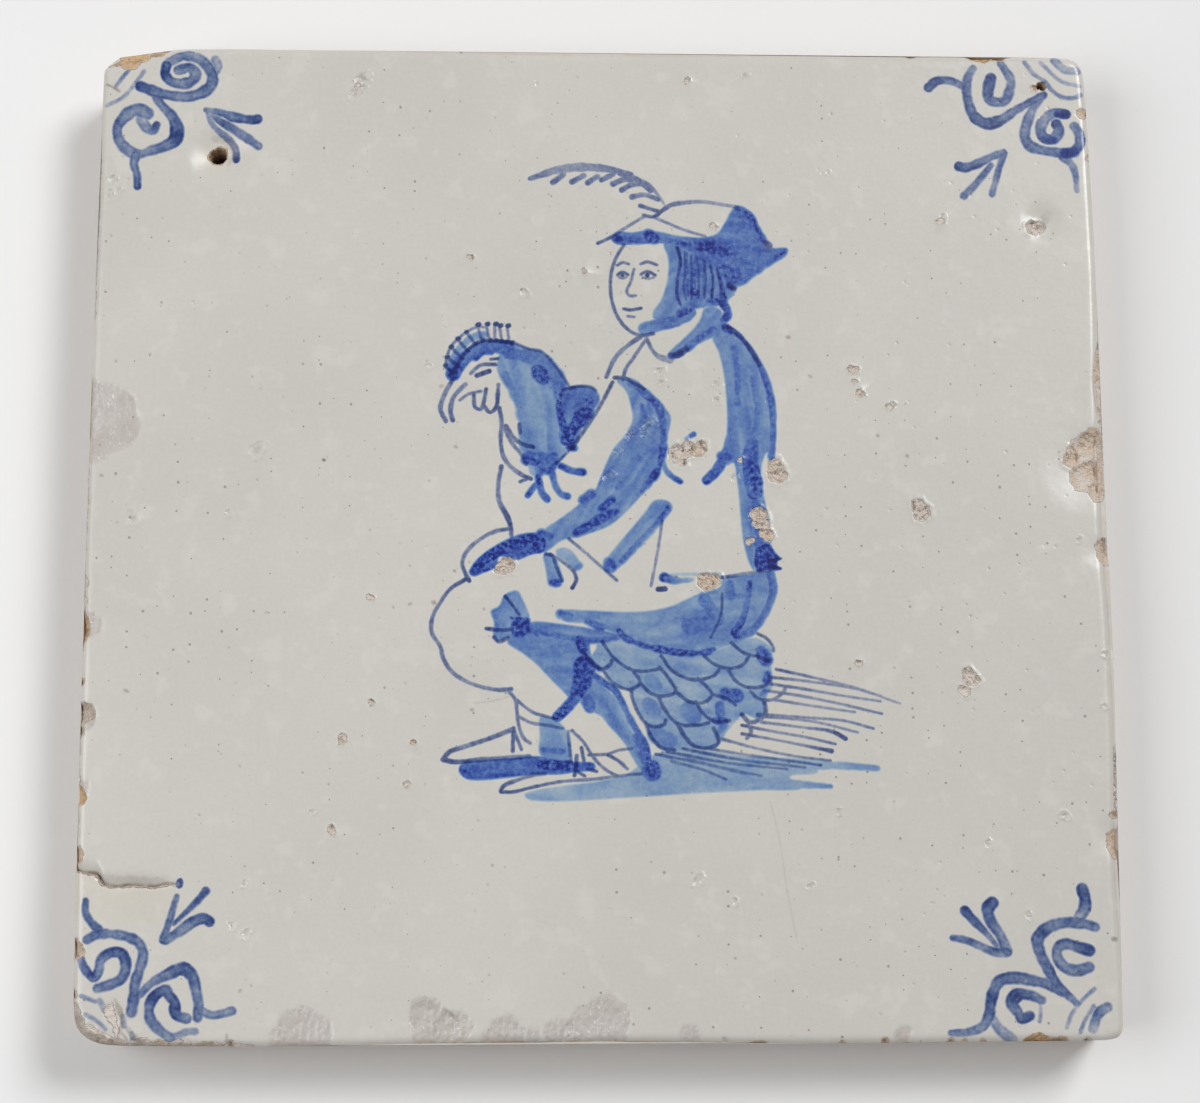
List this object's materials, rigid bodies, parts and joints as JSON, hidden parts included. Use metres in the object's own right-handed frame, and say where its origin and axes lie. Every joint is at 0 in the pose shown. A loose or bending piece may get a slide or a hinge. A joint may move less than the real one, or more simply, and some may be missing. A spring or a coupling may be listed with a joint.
{
  "type": "delft tile",
  "caption": "Square tin-glazed earthenware wall tile, painted blue on white with a figure and corner motifs, with worn edges and pin holes.",
  "frame": {"origin": "on the plane of the flat back, under the middle of the tile", "axes": "+Z out of the glazed face, +X to the right and +Y up as the picture stands"},
  "size_m": [0.131, 0.13, 0.01],
  "materials": {
    "tin_glaze": "glossy off-white tin glaze painted in cobalt blue, over buff fired clay that shows at the chips, the sides and the back"
  },
  "bodies": {
    "root": {"tile": "tin_glaze"}
  },
  "joints": []
}
